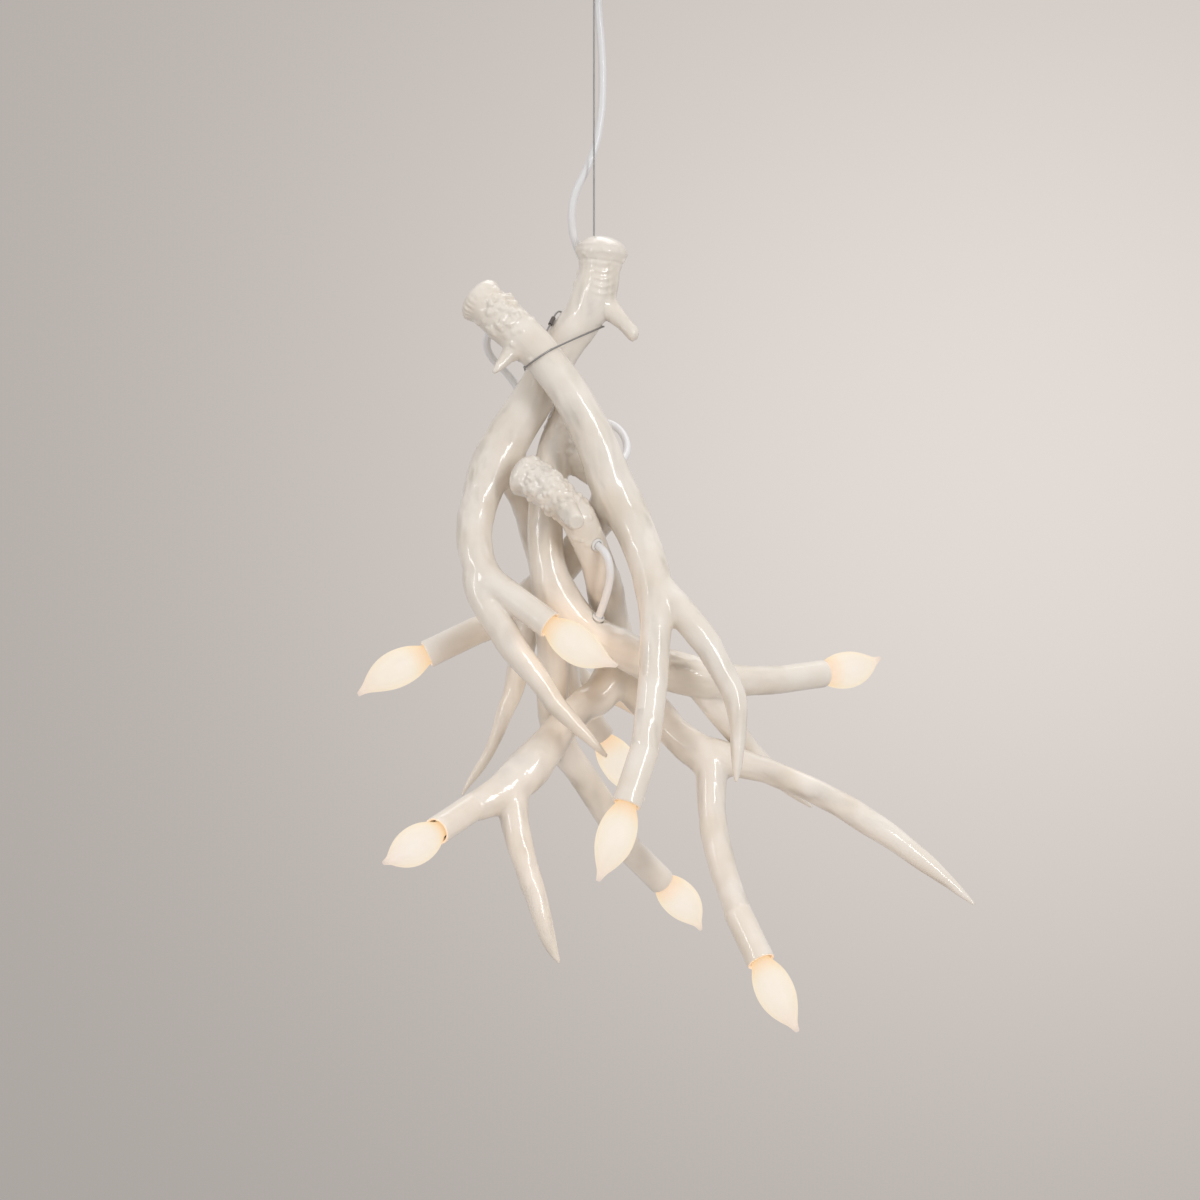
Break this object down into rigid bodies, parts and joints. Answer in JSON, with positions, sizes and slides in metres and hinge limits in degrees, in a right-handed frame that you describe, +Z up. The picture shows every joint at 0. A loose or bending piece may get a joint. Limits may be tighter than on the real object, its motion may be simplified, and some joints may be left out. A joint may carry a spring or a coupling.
{
  "type": "antler chandelier",
  "caption": "Hanging cluster of interlaced, pearled ceramic antlers with candle-flame lamps at the ends of their branches, on a wire and a cord.",
  "frame": {"origin": "centre of the fitting's ceiling face, between the two box screw holes of the crossbar", "axes": "+Z up to the ceiling, -Y towards the viewer of the picture, +X to that viewer's right"},
  "size_m": [0.5249, 0.3009, 0.9274],
  "materials": {
    "glaze": "opaque glossy white glaze over slip-cast ceramic",
    "bulb_glass": "softly frosted lamp glass",
    "brass": "pressed brass",
    "holder": "moulded insulating body",
    "canopy_paint": "satin white paint",
    "plated_steel": "plated steel",
    "white_plastic": "satin",
    "wire_steel": "stranded steel wire",
    "alloy": "crimped sleeve",
    "cord_white": "smooth white cord jacket",
    "grommet": "soft white grommet"
  },
  "bodies": {
    "ceiling_fitting": {"canopy_cover": "canopy_paint", "crossbar": "plated_steel", "nipple": "plated_steel", "lock_nut": "plated_steel", "cup_collar": "plated_steel", "seat_cup": "plated_steel", "cord_bushing": "white_plastic"},
    "pivot_ball": {"stop_ball": "plated_steel"},
    "cluster": {"antler_front": "glaze", "antler_top": "glaze", "antler_low": "glaze", "antler_back": "glaze", "lampholder_1": "holder", "lampholder_2": "holder", "lampholder_3": "holder", "lampholder_4": "holder", "lampholder_5": "holder", "lampholder_6": "holder", "lampholder_7": "holder", "lampholder_8": "holder", "lampholder_shell_1": "brass", "lampholder_shell_2": "brass", "lampholder_shell_3": "brass", "lampholder_shell_4": "brass", "lampholder_shell_5": "brass", "lampholder_shell_6": "brass", "lampholder_shell_7": "brass", "lampholder_shell_8": "brass", "centre_contacts": "brass", "suspension_cable": "wire_steel", "cable_ferrule": "alloy", "cable_anchor": "plated_steel", "power_cord": "cord_white", "cord_link_1": "cord_white", "cord_link_2": "cord_white", "cord_link_3": "cord_white", "cord_grommets": "grommet", "tie_upper": "wire_steel", "tie_rear": "wire_steel", "crimp_sleeves": "alloy"},
    "bulb_1": {"glass_bulb_1": "bulb_glass", "screw_base_1": "brass"},
    "bulb_2": {"glass_bulb_2": "bulb_glass", "screw_base_2": "brass"},
    "bulb_3": {"glass_bulb_3": "bulb_glass", "screw_base_3": "brass"},
    "bulb_4": {"glass_bulb_4": "bulb_glass", "screw_base_4": "brass"},
    "bulb_5": {"glass_bulb_5": "bulb_glass", "screw_base_5": "brass"},
    "bulb_6": {"glass_bulb_6": "bulb_glass", "screw_base_6": "brass"},
    "bulb_7": {"glass_bulb_7": "bulb_glass", "screw_base_7": "brass"},
    "bulb_8": {"glass_bulb_8": "bulb_glass", "screw_base_8": "brass"}
  },
  "joints": [
    {"name": "swing_side", "type": "hinge", "parent": "ceiling_fitting", "child": "pivot_ball", "pos_m": [0, 0, -0.046], "axis": [0, 1, 0], "range_deg": [-8, 8]},
    {"name": "swing_forward", "type": "hinge", "parent": "pivot_ball", "child": "cluster", "pos_m": [0, 0, -0.046], "axis": [1, 0, 0], "range_deg": [-8, 8]},
    {"name": "bulb_1_out", "type": "slide", "parent": "cluster", "child": "bulb_1", "axis": [-0.8914, -0.1395, -0.4311], "range_m": [0, 0.07]},
    {"name": "bulb_2_out", "type": "slide", "parent": "cluster", "child": "bulb_2", "axis": [0.7661, -0.3081, -0.5641], "range_m": [0, 0.02]},
    {"name": "bulb_3_out", "type": "slide", "parent": "cluster", "child": "bulb_3", "axis": [-0.5663, -0.7433, -0.356], "range_m": [0, 0.07]},
    {"name": "bulb_4_out", "type": "slide", "parent": "cluster", "child": "bulb_4", "axis": [-0.3065, -0.3253, -0.8946], "range_m": [0, 0.07]},
    {"name": "bulb_5_out", "type": "slide", "parent": "cluster", "child": "bulb_5", "axis": [0.5548, 0.2253, -0.8009], "range_m": [0, 0.07]},
    {"name": "bulb_6_out", "type": "slide", "parent": "cluster", "child": "bulb_6", "axis": [0.5789, 0.5456, -0.606], "range_m": [0, 0.07]},
    {"name": "bulb_7_out", "type": "slide", "parent": "cluster", "child": "bulb_7", "axis": [0.3858, -0.4546, -0.8028], "range_m": [0, 0.07]},
    {"name": "bulb_8_out", "type": "slide", "parent": "cluster", "child": "bulb_8", "axis": [0.7823, 0.6158, 0.0936], "range_m": [0, 0.07]}
  ]
}
